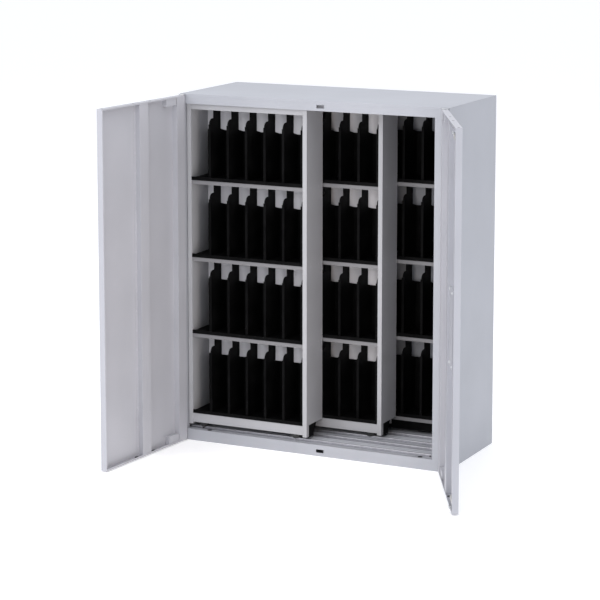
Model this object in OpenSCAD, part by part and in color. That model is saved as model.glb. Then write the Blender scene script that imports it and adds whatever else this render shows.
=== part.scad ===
/* [Cabinet body] */
// Width over the side panels
width = 900; // [860:10:1000]
// Depth of the body, without the doors
depth = 380; // [376:4:440]
// Height over everything
height = 1100; // [1060:10:1200]
// Thickness of the body and door sheet
sheet = 1.2; // [0.8:0.1:1.5]
// Width of the front stile of a side panel
stile_w = 15; // [13:1:20]
// Depth of the lip folded back from the stile
stile_lip = 20; // [12:1:20]
// Height of the front lip of the top panel
top_lip = 10; // [8:1:12]
// Height of the front face of the top, lip and rail together
top_front_h = 31; // [28:1:40]
// Height of the bottom front rail and of the floor
floor_h = 35; // [32:1:45]
// Depth of the ledge on top of the bottom rail
ledge_d = 28; // [26:1:30]
// Depth of the top rail
top_rail_d = 10; // [8:0.5:10]
// Width of a cross member under the floor
cross_w = 60; // [40:5:80]
// Distance of the outer cross members from the sides
cross_x = 160; // [150:10:250]
// Height of the pressed ribs in the floor
floor_rib_h = 2.5; // [1:0.5:3]
// Height of the flanges at the floor's ends
floor_flange_h = 20; // [12:1:24]
// Width of the fixed post at the right of the front
front_post_w = 31; // [24:1:36]
// Depth of the fixed post
front_post_t = 9; // [6:0.5:9]
// Height of the lower buffers on the side panels
buffer_low_z = 300; // [200:10:400]
// Height of the upper buffers
buffer_high_z = 850; // [700:10:950]

/* [Feet] */
// Distance of the feet from the sides
foot_x = 90; // [60:5:110]
// Distance of the feet from the front and the back
foot_in = 13; // [13:0.5:14]
// Diameter of a foot pad
foot_d = 14; // [10:1:14]
// Diameter of a foot's stud
stud_d = 8; // [6:1:8]

/* [Rows] */
// Distance from the body's front to the front row
row_in = 12; // [10:1:14]
// Distance from one row to the next
row_pitch = 121; // [118:1:126]
// Depth of a rack or sliding carrier
rack_d = 112; // [106:1:112]
// Thickness of the rack sheet
rack_sheet = 1; // [0.8:0.1:1.2]
// Width of a carrier's side post
post_w = 14; // [12:1:18]
// Width of an end upright of the rear rack
upright_w = 10; // [8:1:14]
// Height of the carriers' lowest shelf
base_z = 90; // [86:1:100]
// Height of the front face under the lowest shelf
apron_h = 34; // [28:1:36]
// Height of the lowest bay, from shelf to shelf
low_bay_h = 257; // [245:1:262]
// Height of the other bays, from shelf to shelf
bay_h = 243.5; // [230:0.5:246]
// Height of a shelf's front lip
shelf_lip = 17; // [14:1:26]
// Free height over the carriers, up to the top of the body
head_room = 30; // [28:1:34]
// Distance of the middle carrier from its left stop
middle_start = 198; // [0:1:400]

/* [Dividers] */
// Dividers on each shelf of a carrier
divider_n = 6; // [4:1:6]
// Distance from one divider to the next
divider_pitch = 63.5; // [60:0.5:64]
// Thickness of a divider's plate
divider_t = 2.5; // [2:0.5:4]
// Width of the beads down a divider's edges
bead_w = 8; // [6:1:12]
// Depth of the beads
bead_d = 3; // [2:0.5:5]
// Width of a divider's neck
neck_w = 45; // [30:1:50]
// Distance of the neck from the divider's front edge
neck_in = 19; // [19:1:26]
// Distance from the front shoulder up to the lip above
front_drop = 28; // [15:1:40]
// Distance from the rear shoulder up to the lip above
rear_drop = 66; // [45:1:80]
// Radius of the front shoulder
shoulder_r = 18; // [8:1:18]
// Thickness of the plastic tray under the dividers
tray_t = 2; // [1.5:0.5:3]
// Height of the tray's front edge
tray_lip = 6; // [4:1:10]
// Height of the tray's hook over the shelf's front edge
tray_hook = 5; // [3:0.5:8]

/* [Running gear] */
// Running radius of a wheel
wheel_r = 13; // [11:0.5:13]
// Width of a wheel
wheel_w = 12; // [11:1:14]
// Height of a wheel's flanges over its tread
flange_h = 3; // [2:0.5:4]
// Radius of an axle
axle_r = 4; // [3:0.5:5]
// Distance of the wheels from a carrier's ends
wheel_in = 45; // [35:1:80]
// Distance of the front track from a row's front
track_in = 18; // [18:0.5:19]
// Distance between the two tracks of a row
track_gauge = 68; // [64:1:72]
// Height of a track over the floor
track_h = 8; // [7:0.5:9]
// Width of a track's running edge
track_w = 6; // [4:0.5:6]
// Length of a top guide block
block_l = 40; // [30:1:60]
// Width of a top guide block
block_w = 16.4; // [12:0.2:20]
// Distance of the guide blocks from a carrier's ends
block_in = 60; // [45:5:100]

/* [Doors] */
// Depth of a door
door_t = 19; // [17:0.5:19.5]
// Distance of the hinge pins from the body's sides
hinge_in = 11; // [10:0.5:14]
// Distance of the hinge pins in front of the body
hinge_out = 10; // [9.9:0.1:12]
// Thickness of a hinge bracket
hinge_t = 2.4; // [2:0.1:3]
// Radius of a hinge pin
pin_r = 4; // [3:0.5:4.5]
// Gap between the closed doors
meeting_gap = 3; // [2:0.5:5]
// Width of the lip round a door's inside
door_lip = 15; // [10:1:16]
// Width of the lip on a door's hinge side
door_stile = 40; // [25:1:60]
// Width of a door's stiffener
stiffener_w = 46; // [30:1:60]
// Length of a pivot block in a door's corner
pivot_l = 95; // [60:1:110]
// Height of a pivot block
pivot_h = 26; // [20:1:40]
// Distance of a door's drain holes from its stiffener
drain_in = 22; // [16:1:40]
// Opening angle of the left door
left_angle = 94.5; // [0:0.5:170]
// Opening angle of the right door
right_angle = 117.5; // [0:0.5:170]

/* [Latch] */
// Distance of the handle from the middle of the cabinet
handle_x = 48; // [46:1:56]
// Height of the handle
handle_z = 526; // [450:2:700]
// Radius of the dish that the handle is sunk in
dish_r = 28; // [24:1:29]
// Depth of the dish
dish_d = 7.5; // [6:0.5:7.5]
// Width of the handle's grip bar
grip_w = 12; // [10:1:18]
// Distance of the latch rods from the middle of the cabinet
rod_x = 31; // [30:1:33]
// Width of the lock case
case_w = 86; // [80:1:120]
// Height of the lock case
case_h = 228; // [180:2:300]
// Width of a latch rod
rod_w = 12; // [10:1:14]
// Thickness of a latch rod
rod_t = 3; // [2:0.5:3]
// Travel of a latch rod
rod_travel = 6.5; // [5:0.5:6.5]
// Radius of the lock cylinder
lock_r = 9; // [7:0.5:10]
// Distance of the lock's centre over the dish
lock_up = 24; // [20:1:40]
// Length of a rod guide block
guide_l = 72; // [50:1:80]
// Distance of the rod guides from the door's ends
guide_in = 24; // [20:1:60]

/* [Clearances] */
// Play round a pin or an axle
play = 0.06; // [0.02:0.01:0.1]
// Gap between a moving piece and what it runs on
gap = 0.3; // [0.2:0.05:0.4]
// Gap between a closed carrier and a stile
side_gap = 2; // [1:0.5:4]

/* [Hidden] */
$fn = 48;

paint = [0.80, 0.82, 0.86];
rack_paint = [0.72, 0.72, 0.76];
black = [0.06, 0.06, 0.07];
zinc = [0.70, 0.71, 0.72];
nylon = [0.92, 0.92, 0.90];

half_w = width / 2;
front_y = -depth / 2;
back_y = depth / 2;
inner_x = half_w - stile_w;
stand_x = half_w - foot_x;
member_x = half_w - cross_x;
roof_z = height - sheet;
top_lip_z = height - top_lip;
rail_z = height - top_front_h;
panel_y = back_y - sheet;
overhang = 2;

rack_top_z = height - head_room;
rack_inner_w = divider_n * divider_pitch + 4;
carrier_w = rack_inner_w + 2 * post_w;
stop_x = inner_x - side_gap;
front_x = -stop_x;
middle_x = -stop_x + middle_start;
row_y = [for (i = [0:2]) front_y + row_in + i * row_pitch];
shelf_z = [for (i = [0:3]) base_z + (i == 0 ? 0 : low_bay_h + (i - 1) * bay_h)];
top_rail_lip = 19;
// Lowest edge of what closes each bay at its top
bay_top_z = [for (i = [0:3]) i == 3 ? rack_top_z - top_rail_lip : shelf_z[i + 1] - shelf_lip];
// Underside that each divider's neck reaches
neck_top_z = [for (i = [0:3]) (i == 3 ? rack_top_z : shelf_z[i + 1]) - rack_sheet];

tread_z = floor_h + track_h + gap;
axle_z = tread_z + wheel_r;
side_foot_z = base_z - apron_h - 6;
wheel_bay_z = base_z - 4;
front_post_d = 16;

door_r = door_t / 2;
hinge_x = -half_w + hinge_in;
hinge_y = front_y - hinge_out;
door_z0 = sheet + hinge_t + gap + 0.1;
door_z1 = height - door_z0;
door_h = door_z1 - door_z0;
free_x = -meeting_gap / 2;
door_in_y = hinge_y + door_r;
skin_y = hinge_y - door_r + sheet;

slot_w = 26;
slot_h = 10;
upper_slot_z = rail_z + 13;
lower_slot_z = 16;
finger_t = 3;
hook_tip = 4;
crank_r = rod_travel / 2 / sin(45);
crank_pin_r = 1.8;
crank_y = hinge_y + 0.5;
crank_t = 2.5;
rod_y = crank_y + crank_t + 1;
rod_jog = rod_x - handle_x;
spindle_r = 4;
rim_t = 1.5;
lock_z = handle_z + dish_r + lock_up;

// A box between two corners
module block(from, to) {
    translate(from) cube(to - from);
}

// Draws a profile of y and z and runs it along x
module along_x(x0, x1) {
    translate([x0, 0, 0]) rotate([90, 0, 90]) linear_extrude(x1 - x0) children();
}

// Draws a profile of x and z and runs it along y
module along_y(y0, y1) {
    translate([0, y1, 0]) rotate([90, 0, 0]) linear_extrude(y1 - y0) children();
}

// A rectangle between two corners
module area(from, to) {
    translate(from) square(to - from);
}

// A rectangle with round corners
module round_area(from, to, r) {
    area([from[0] + r, from[1]], [to[0] - r, to[1]]);
    area([from[0], from[1] + r], [to[0], to[1] - r]);
    for (x = [from[0] + r, to[0] - r], y = [from[1] + r, to[1] - r])
        translate([x, y]) circle(r);
}

// Turns a closed door's pieces about its hinge to where the door stands
module open_door(x, angle) {
    translate([x, hinge_y, 0]) rotate([0, 0, angle]) translate([-x, -hinge_y, 0]) children();
}

// Side panel: a skin with a stile and lip at the front and flanges at the back and foot
module side_panel() {
    tab_x0 = -half_w + sheet;
    tab_x1 = -inner_x - sheet;
    difference() {
        union() {
            linear_extrude(roof_z) {
                area([-half_w, front_y], [-half_w + sheet, back_y]);
                area([-half_w, front_y], [-inner_x, front_y + sheet]);
                area([-inner_x - sheet, front_y], [-inner_x, front_y + stile_lip]);
                area([-half_w, panel_y - sheet], [-inner_x, panel_y]);
            }
            block([-half_w, front_y, 0], [-inner_x, back_y, sheet]);
        }
        block([-half_w - 1, front_y - 1, top_lip_z], [-inner_x + 1, front_y + sheet, height]);
        block([tab_x0, front_y - 1, sheet], [tab_x1, front_y + sheet + 0.01, sheet + hinge_t + gap]);
    }
}

module left_side_panel() {
    color(paint) side_panel();
}

module right_side_panel() {
    color(paint) mirror([1, 0, 0]) side_panel();
}

// Top panel: one sheet with a folded front lip, notched where the hinge brackets pass
module top_panel() {
    color(paint) difference() {
        along_x(-half_w, half_w) {
            area([front_y, roof_z], [back_y, height]);
            area([front_y, top_lip_z], [front_y + sheet, height]);
        }
        for (side = [0, 1]) mirror([side, 0, 0])
            block([-half_w + sheet, front_y - 1, roof_z - hinge_t - gap],
                  [-inner_x - sheet, front_y + sheet + 0.01, roof_z]);
    }
}

// Back panel, laid on the side panels' flanges from outside
module back_panel() {
    color(paint) block([-half_w + sheet, panel_y, sheet], [half_w - sheet, back_y, roof_z]);
}

// Channel that stiffens the foot of the back panel
module rear_base_rail() {
    flange = 12;
    color(paint) along_x(-inner_x, inner_x) {
        area([panel_y - sheet, sheet], [panel_y, floor_h - sheet]);
        area([panel_y - flange, sheet], [panel_y, 2 * sheet]);
        area([panel_y - flange, floor_h - 2 * sheet], [panel_y, floor_h - sheet]);
    }
}

// Three hat channels that carry the floor and rest on the ground
module base_cross_members() {
    flange = 10;
    top = floor_h - sheet;
    for (x = [-member_x, 0, member_x]) color(paint)
        translate([x, 0, 0]) along_y(front_y + ledge_d, panel_y - 14) {
            area([-cross_w / 2, 0], [cross_w / 2, sheet]);
            for (side = [0, 1]) mirror([side, 0]) {
                area([cross_w / 2 - sheet, 0], [cross_w / 2, top]);
                area([cross_w / 2 - sheet, top - sheet], [cross_w / 2 + flange, top]);
            }
        }
}

// Floor sheet with pressed ribs between the tracks and flanges at both ends
module floor_pan() {
    rib_w = 10;
    ribs = [for (i = [0:1], k = [0.28, 0.5, 0.72]) row_y[i] + track_in + k * track_gauge];
    end_y = panel_y - sheet;
    color(paint) {
        along_x(-half_w + sheet, half_w - sheet) difference() {
            union() {
                area([front_y + ledge_d, floor_h - sheet], [end_y, floor_h]);
                for (y = ribs) translate([y, floor_h])
                    polygon([[-rib_w / 2, -0.1], [-rib_w / 2, 0], [-rib_w / 4, floor_rib_h],
                             [rib_w / 4, floor_rib_h], [rib_w / 2, 0], [rib_w / 2, -0.1]]);
            }
            for (y = ribs) translate([y, floor_h - sheet])
                polygon([[-rib_w / 2, -0.1], [-rib_w / 2, 0], [-rib_w / 4, floor_rib_h],
                         [rib_w / 4, floor_rib_h], [rib_w / 2, 0], [rib_w / 2, -0.1]]);
        }
        for (side = [0, 1]) mirror([side, 0, 0])
            block([-half_w + sheet, front_y + ledge_d, floor_h - floor_flange_h],
                  [-half_w + 2 * sheet, end_y, floor_h]);
    }
}

// Top front rail: face, upper leg behind the panel's lip, and a lip on its lower leg
module top_front_rail() {
    lip = 10;
    color(paint) difference() {
        along_x(-inner_x, inner_x) {
            area([front_y, rail_z], [front_y + sheet, top_lip_z]);
            area([front_y + sheet, top_lip_z - 2 * sheet], [front_y + 2 * sheet, roof_z]);
            area([front_y, top_lip_z - 2 * sheet], [front_y + 2 * sheet, top_lip_z]);
            area([front_y, rail_z], [front_y + top_rail_d, rail_z + sheet]);
            area([front_y + top_rail_d - sheet, rail_z], [front_y + top_rail_d, rail_z + lip]);
        }
        block([rod_x - slot_w / 2, front_y - 1, upper_slot_z - slot_h / 2],
              [rod_x + slot_w / 2, front_y + 5, upper_slot_z + slot_h / 2]);
    }
}

// Bottom front rail: face, ledge with the adjusters' holes, and the latch slot
module bottom_front_rail() {
    foot_leg = 5;
    back_lip = 14;
    color(paint) difference() {
        along_x(-inner_x, inner_x) {
            area([front_y, 0], [front_y + sheet, floor_h]);
            area([front_y, 0], [front_y + foot_leg, sheet]);
            area([front_y, floor_h - sheet], [front_y + ledge_d, floor_h]);
            area([front_y + ledge_d - sheet, floor_h - back_lip], [front_y + ledge_d, floor_h]);
        }
        block([rod_x - slot_w / 2, front_y - 1, lower_slot_z - slot_h / 2],
              [rod_x + slot_w / 2, front_y + 5, lower_slot_z + slot_h / 2]);
        for (x = [-stand_x, stand_x])
            translate([x, front_y + foot_in, floor_h - 5]) cylinder(h = 10, r = stud_d / 2 + 1.5);
    }
}

// Folded post that closes the front beside the right stile, from rail to rail
module right_front_post() {
    x0 = inner_x - front_post_w;
    return_w = 10;
    color(paint) translate([0, front_y, floor_h]) linear_extrude(rail_z - floor_h) {
        area([x0, 0], [inner_x, sheet]);
        area([x0, 0], [x0 + sheet, front_post_t]);
        area([x0, front_post_t - sheet], [x0 + return_w, front_post_t]);
        area([inner_x - sheet, 0], [inner_x, front_post_t]);
    }
}

// Two rails with round running edges for one row's carrier
module row_tracks(y0) {
    base_w = 17;
    base_t = 1.5;
    color(zinc) for (y = [y0 + track_in, y0 + track_in + track_gauge])
        along_x(-stop_x, stop_x) {
            area([y - base_w / 2, floor_h], [y + base_w / 2, floor_h + base_t]);
            area([y - track_w / 2, floor_h], [y + track_w / 2, floor_h + track_h - track_w / 2]);
            translate([y, floor_h + track_h - track_w / 2]) circle(track_w / 2);
        }
}

module front_row_tracks() {
    row_tracks(row_y[0]);
}

module middle_row_tracks() {
    row_tracks(row_y[1]);
}

// Channels under the top that keep the carriers upright
module ceiling_guides() {
    wall = 1.5;
    half = block_w / 2 + 0.8;
    color(zinc) for (i = [0, 1]) along_x(-stop_x, stop_x)
        translate([row_y[i] + rack_d / 2, 0]) {
            area([-half - wall, roof_z - wall], [half + wall, roof_z]);
            area([-half - wall, rack_top_z + 4], [-half, roof_z]);
            area([half, rack_top_z + 4], [half + wall, roof_z]);
        }
}

// Rubber buffers on the side panels, where the carriers stop
module buffers() {
    base_r = 14;
    tip_r = 9;
    length = half_w - sheet - stop_x - gap;
    color(black) for (side = [0, 1], i = [0, 1], z = [buffer_low_z, buffer_high_z])
        mirror([side, 0, 0])
            translate([-half_w + sheet, row_y[i] + rack_d / 2, z]) rotate([0, 90, 0]) {
                cylinder(h = 4, r = base_r);
                cylinder(h = length, r1 = base_r - 3, r2 = tip_r);
            }
}

// Screw feet: pad, stud and the nut under the sheet
module levelling_feet() {
    pad_t = 4;
    nut_h = 7;
    sheet_z = floor_h - sheet;
    for (x = [-stand_x, stand_x], y = [front_y + foot_in, back_y - foot_in - 12])
        color(zinc) translate([x, y, 0]) {
            cylinder(h = pad_t, r = foot_d / 2);
            cylinder(h = sheet_z - 3, r = stud_d / 2);
            translate([0, 0, sheet_z - nut_h]) difference() {
                cylinder(h = nut_h, r = 7, $fn = 6);
                translate([0, 0, -1]) cylinder(h = nut_h + 2, r = stud_d / 2 + play);
            }
        }
}

module adjuster_caps() {
    for (x = [-stand_x, stand_x]) color(black) translate([x, front_y + foot_in, 0]) {
        translate([0, 0, floor_h]) cylinder(h = 1.2, r = 7);
        translate([0, 0, floor_h - sheet + 0.1]) cylinder(h = sheet, r = stud_d / 2 + 1.4);
    }
}

// Flat bracket with a pin, seated on the side panel's foot flange
module hinge_bracket() {
    tab_l = 45;
    color(zinc) {
        translate([0, 0, sheet]) linear_extrude(hinge_t) {
            translate([hinge_x, hinge_y]) circle(door_r);
            area([-half_w + sheet + gap, hinge_y], [-inner_x - sheet - gap, hinge_y + tab_l]);
        }
        translate([hinge_x, hinge_y, sheet]) cylinder(h = pivot_h, r = pin_r);
    }
}

module hinge_pair() {
    hinge_bracket();
    translate([0, 0, height]) mirror([0, 0, 1]) hinge_bracket();
}

module left_hinge_brackets() {
    hinge_pair();
}

module right_hinge_brackets() {
    mirror([1, 0, 0]) hinge_pair();
}

// Post folded from sheet, open at its back: front face and two cheeks
module post(w, d, z0, z1) {
    translate([0, 0, z0]) linear_extrude(z1 - z0) {
        area([0, 0], [w, rack_sheet]);
        area([0, 0], [rack_sheet, d]);
        area([w - rack_sheet, 0], [w, d]);
    }
}

// Shelf folded from sheet: deck, front lip with a return, and a rear flange
module shelf(x0, x1, d, z, lip) {
    return_d = 8;
    rear_h = 12;
    along_x(x0, x1) {
        area([overhang, z - rack_sheet], [d, z]);
        area([overhang, z - lip], [overhang + rack_sheet, z]);
        area([overhang, z - lip], [overhang + return_d, z - lip + rack_sheet]);
        area([d - rack_sheet, z - rear_h], [d, z]);
    }
}

// Plastic tray with a raised front edge and a hook over the shelf's lip
module tray(x0, x1, z) {
    hook_y = 0.4;
    along_x(x0 + gap, x1 - gap) {
        area([hook_y, z], [rack_d - rack_sheet - gap, z + tray_t]);
        area([hook_y, z], [overhang + 2.5, z + tray_lip]);
        area([hook_y, z - tray_hook], [overhang, z + tray_t]);
    }
}

// Divider plate: round front shoulder, lower square rear shoulder, neck to the shelf above
module divider(z, lip_z, top_z) {
    y0 = 5;
    y1 = rack_d - rack_sheet - 0.5;
    n0 = y0 + neck_in;
    front_z = lip_z - front_drop;
    translate([-divider_t / 2, 0, 0]) along_x(0, divider_t) {
        area([y0, z], [y1, lip_z - rear_drop]);
        area([y0, z], [n0 + 1, front_z - shoulder_r]);
        area([y0 + shoulder_r, z], [n0 + neck_w, front_z]);
        translate([y0 + shoulder_r, front_z - shoulder_r]) circle(shoulder_r);
        area([n0, z], [n0 + neck_w, top_z]);
    }
    block([-bead_w / 2, y0, z], [bead_w / 2, y0 + bead_d, front_z - shoulder_r]);
    block([-bead_w / 2, y1 - bead_d, z], [bead_w / 2, y1, lip_z - rear_drop]);
}

module divider_set(x0) {
    color(black) for (i = [0:3], k = [0:divider_n - 1])
        translate([x0 + divider_pitch * (k + 1) - divider_t / 2, 0, 0])
            divider(shelf_z[i] + tray_t, bay_top_z[i], neck_top_z[i]);
}

// Places a carrier's pieces, drawn from its left front corner
module at_front() {
    translate([front_x, row_y[0], 0]) children();
}

module at_middle() {
    translate([middle_x, row_y[1], 0]) children();
}

// Side post of a carrier, cut away behind its front over the wheels
module carrier_side() {
    color(rack_paint) difference() {
        post(post_w, rack_d - rack_sheet, side_foot_z, rack_top_z);
        block([-1, front_post_d, side_foot_z - 1], [post_w + 1, rack_d + 1, wheel_bay_z]);
    }
}

module carrier_right_side() {
    translate([carrier_w, 0, 0]) mirror([1, 0, 0]) carrier_side();
}

module carrier_back() {
    color(rack_paint)
        block([0, rack_d - rack_sheet, wheel_bay_z], [carrier_w, rack_d, rack_top_z]);
}

module carrier_top() {
    color(rack_paint)
        shelf(post_w, carrier_w - post_w, rack_d - rack_sheet, rack_top_z, top_rail_lip);
}

module carrier_shelves() {
    color(rack_paint) for (i = [1:3])
        shelf(post_w, carrier_w - post_w, rack_d - rack_sheet, shelf_z[i], shelf_lip);
}

// Lowest shelf: a deep channel whose front is the apron
module carrier_base() {
    z0 = base_z - apron_h;
    return_d = 8;
    d = rack_d - rack_sheet;
    color(rack_paint) along_x(post_w, carrier_w - post_w) {
        area([overhang, base_z - rack_sheet], [d, base_z]);
        area([overhang, z0], [overhang + rack_sheet, base_z]);
        area([overhang, z0], [overhang + return_d, z0 + rack_sheet]);
        area([d - rack_sheet, z0 + 6], [d, base_z]);
    }
}

module carrier_trays() {
    color(black) for (i = [0:3]) tray(post_w, carrier_w - post_w, shelf_z[i]);
}

module carrier_dividers() {
    divider_set(post_w);
}

// Two cheeks for each axle, hung from the lowest shelf
module carrier_wheel_brackets() {
    cheek_t = 3;
    cheek_r = 11;
    flange = 10;
    z1 = base_z - rack_sheet;
    y0 = track_in + wheel_w / 2 + 4;
    y1 = track_in + track_gauge - wheel_w / 2 - 4 - cheek_t;
    color(zinc) for (x = [wheel_in, carrier_w - wheel_in], y = [y0, y1])
        translate([x, y, 0]) {
            difference() {
                along_y(0, cheek_t) {
                    area([-cheek_r, axle_z], [cheek_r, z1]);
                    translate([0, axle_z]) circle(cheek_r);
                }
                translate([0, cheek_t + 1, axle_z]) rotate([90, 0, 0])
                    cylinder(h = cheek_t + 2, r = axle_r + play);
            }
            block([-cheek_r, y == y0 ? 0 : cheek_t - flange, z1 - 2],
                  [cheek_r, y == y0 ? flange : cheek_t, z1]);
        }
}

// Nylon blocks on the carrier's top that run in the ceiling channel
module carrier_guide_blocks() {
    step = 2;
    color(nylon) for (x = [block_in, carrier_w - block_in])
        translate([x, rack_d / 2, rack_top_z]) {
            block([-block_l / 2 - step, -block_w / 2 - step, 0],
                  [block_l / 2 + step, block_w / 2 + step, 3]);
            linear_extrude(head_room - sheet - 8)
                round_area([-block_l / 2, -block_w / 2], [block_l / 2, block_w / 2], 4);
        }
}

// Two grooved wheels on one axle, turned in one piece
module wheel_set() {
    outer = wheel_r + flange_h;
    groove = track_w / 2 + 0.6;
    rim = wheel_w / 2;
    y0 = track_in;
    y1 = track_in + track_gauge;
    hub = rim + 2;
    color(nylon) translate([0, 0, axle_z]) rotate([-90, 0, 0]) rotate_extrude()
        polygon([
            [0, y0 - hub], [axle_r, y0 - hub], [axle_r, y0 - rim], [outer, y0 - rim],
            [outer, y0 - groove - 0.4], [wheel_r, y0 - groove], [wheel_r, y0 + groove],
            [outer, y0 + groove + 0.4], [outer, y0 + rim], [axle_r, y0 + rim],
            [axle_r, y1 - rim], [outer, y1 - rim], [outer, y1 - groove - 0.4],
            [wheel_r, y1 - groove], [wheel_r, y1 + groove], [outer, y1 + groove + 0.4],
            [outer, y1 + rim], [axle_r, y1 + rim], [axle_r, y1 + hub], [0, y1 + hub]
        ]);
}

module left_wheels() {
    translate([wheel_in, 0, 0]) wheel_set();
}

module right_wheels() {
    translate([carrier_w - wheel_in, 0, 0]) wheel_set();
}

// Uprights of the fixed rear rack: two ends and the middle
module rear_uprights() {
    mid_w = 8;
    d = panel_y - row_y[2];
    color(rack_paint) translate([0, row_y[2], 0]) {
        translate([-inner_x, 0, 0]) post(upright_w, d, floor_h, rack_top_z);
        translate([-mid_w / 2, 0, 0]) post(mid_w, d, floor_h, rack_top_z);
        translate([inner_x - upright_w, 0, 0]) post(upright_w, d, floor_h, rack_top_z);
    }
}

// Left edge, right edge of each half of the rear rack
rear_x = [[-inner_x + upright_w, -4], [4, inner_x - upright_w]];

module rear_shelves() {
    d = panel_y - row_y[2];
    color(rack_paint) translate([0, row_y[2], 0]) for (x = rear_x) {
        for (z = shelf_z) shelf(x[0], x[1], d, z, shelf_lip);
        shelf(x[0], x[1], d, rack_top_z, top_rail_lip);
    }
}

module rear_trays() {
    color(black) translate([0, row_y[2], 0]) for (x = rear_x, z = shelf_z)
        tray(x[0], x[1], z);
}

module rear_left_dividers() {
    translate([0, row_y[2], 0]) divider_set(rear_x[0][0]);
}

module rear_right_dividers() {
    translate([0, row_y[2], 0]) divider_set(rear_x[1][0]);
}

// Plan of a closed left door, drawn smaller by the wall's thickness
module door_plan(wall) {
    translate([hinge_x, hinge_y]) circle(door_r - wall);
    area([hinge_x, hinge_y - door_r + wall], [free_x - wall, hinge_y + door_r - wall]);
}

// Door pan: skin, folded edges and lips, with a round hinge edge closed by a web
module door_panel() {
    drain_r = 4;
    mid_x = (hinge_x + free_x) / 2;
    difference() {
        translate([0, 0, door_z0]) linear_extrude(door_h) door_plan(0);
        translate([0, 0, door_z0 + sheet]) linear_extrude(door_h - 2 * sheet) door_plan(sheet);
        block([hinge_x + door_stile, door_in_y - sheet - 1, door_z0 + door_lip],
              [free_x - door_lip, door_in_y + 1, door_z1 - door_lip]);
        translate([hinge_x, hinge_y, door_z0 - 1]) cylinder(h = door_h + 2, r = pin_r + play);
        for (x = [free_x - 12, mid_x + stiffener_w / 2 + drain_in, mid_x - stiffener_w / 2 - drain_in])
            translate([x, hinge_y, door_z0 - 1]) cylinder(h = door_h + 2, r = drain_r);
    }
    block([hinge_x + door_stile - sheet, skin_y - 0.1, door_z0 + sheet + pivot_h + gap],
          [hinge_x + door_stile, door_in_y - sheet + 0.1, door_z1 - sheet - pivot_h - gap]);
}

// Hat channel down the middle of a door
module door_stiffener() {
    flange = 10;
    mid_x = (hinge_x + free_x) / 2;
    crown_y = door_in_y - sheet;
    color(paint) translate([mid_x, 0, door_z0 + sheet])
        linear_extrude(door_h - 2 * sheet) {
            area([-stiffener_w / 2, crown_y - sheet], [stiffener_w / 2, crown_y]);
            for (side = [0, 1]) mirror([side, 0]) {
                area([stiffener_w / 2 - sheet, skin_y], [stiffener_w / 2, crown_y]);
                area([stiffener_w / 2 - sheet, skin_y],
                     [stiffener_w / 2 + flange, skin_y + sheet]);
            }
        }
}

// Reinforcements in a door's hinge corners, bored for the pins
module pivot_block() {
    wall = sheet + 0.1;
    color(paint) translate([0, 0, door_z0 + sheet]) difference() {
        linear_extrude(pivot_h) {
            translate([hinge_x, hinge_y]) circle(door_r - wall);
            area([hinge_x, hinge_y - door_r + sheet],
                 [hinge_x + pivot_l, hinge_y + door_r - sheet - 1]);
        }
        translate([hinge_x, hinge_y, -1]) cylinder(h = pivot_h + 2, r = pin_r + play);
    }
}

module pivot_blocks() {
    pivot_block();
    translate([0, 0, height]) mirror([0, 0, 1]) pivot_block();
}

module left_door() {
    open_door(hinge_x, -left_angle) children();
}

module right_door() {
    open_door(-hinge_x, right_angle) children();
}

module left_door_panel() {
    color(paint) left_door() door_panel();
}

module left_door_stiffener() {
    left_door() door_stiffener();
}

module left_door_pivot_blocks() {
    left_door() pivot_blocks();
}

// Right door pan, with holes for handle and lock and notches for the hooks
module right_door_panel() {
    notch = rod_w / 2 + 2;
    color(paint) right_door() difference() {
        mirror([1, 0, 0]) door_panel();
        block([rod_x - notch, door_in_y - sheet - 0.5, upper_slot_z - slot_h / 2 - 1],
              [rod_x + notch, door_in_y + 1, upper_slot_z + slot_h / 2 + 1]);
        block([rod_x - notch, door_in_y - sheet - 0.5, lower_slot_z - slot_h / 2 - 1],
              [rod_x + notch, door_in_y + 1, lower_slot_z + slot_h / 2 + 1]);
        translate([handle_x, skin_y + 1, handle_z]) rotate([90, 0, 0])
            cylinder(h = 10, r = dish_r + gap);
        translate([handle_x, skin_y + 1, lock_z]) rotate([90, 0, 0])
            cylinder(h = 10, r = lock_r + play);
    }
}

module right_door_stiffener() {
    right_door() mirror([1, 0, 0]) door_stiffener();
}

module right_door_pivot_blocks() {
    right_door() mirror([1, 0, 0]) pivot_blocks();
}

// Cover over the latch, open towards the door's skin, slotted for the rods
module lock_case() {
    wall = 1.5;
    x0 = meeting_gap / 2 + door_lip + gap;
    z0 = handle_z - case_h / 2;
    z1 = z0 + case_h;
    top_y = door_in_y + 2.5;
    slot = rod_w / 2 + 1;
    color(paint) right_door() difference() {
        along_y(skin_y, top_y) round_area([x0, z0], [x0 + case_w, z1], 6);
        along_y(skin_y - 1, top_y - wall)
            round_area([x0 + wall, z0 + wall], [x0 + case_w - wall, z1 - wall], 5);
        block([rod_x - slot, rod_y - 1, z0 - 1], [rod_x + slot, rod_y + rod_t + 1, z1 + 1]);
    }
}

// Nylon blocks that guide the rods near the door's top and foot
module rod_guides() {
    guide_h = 12;
    x0 = meeting_gap / 2 + sheet;
    color(nylon) right_door() for (z = [door_z0 + guide_in, door_z1 - guide_in - guide_h])
        difference() {
            block([x0, skin_y, z], [x0 + guide_l, door_in_y - sheet, z + guide_h]);
            block([rod_x - rod_w / 2 - gap, rod_y - gap, z - 1],
                  [rod_x + rod_w / 2 + gap, rod_y + rod_t + gap, z + guide_h + 1]);
        }
}

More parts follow.
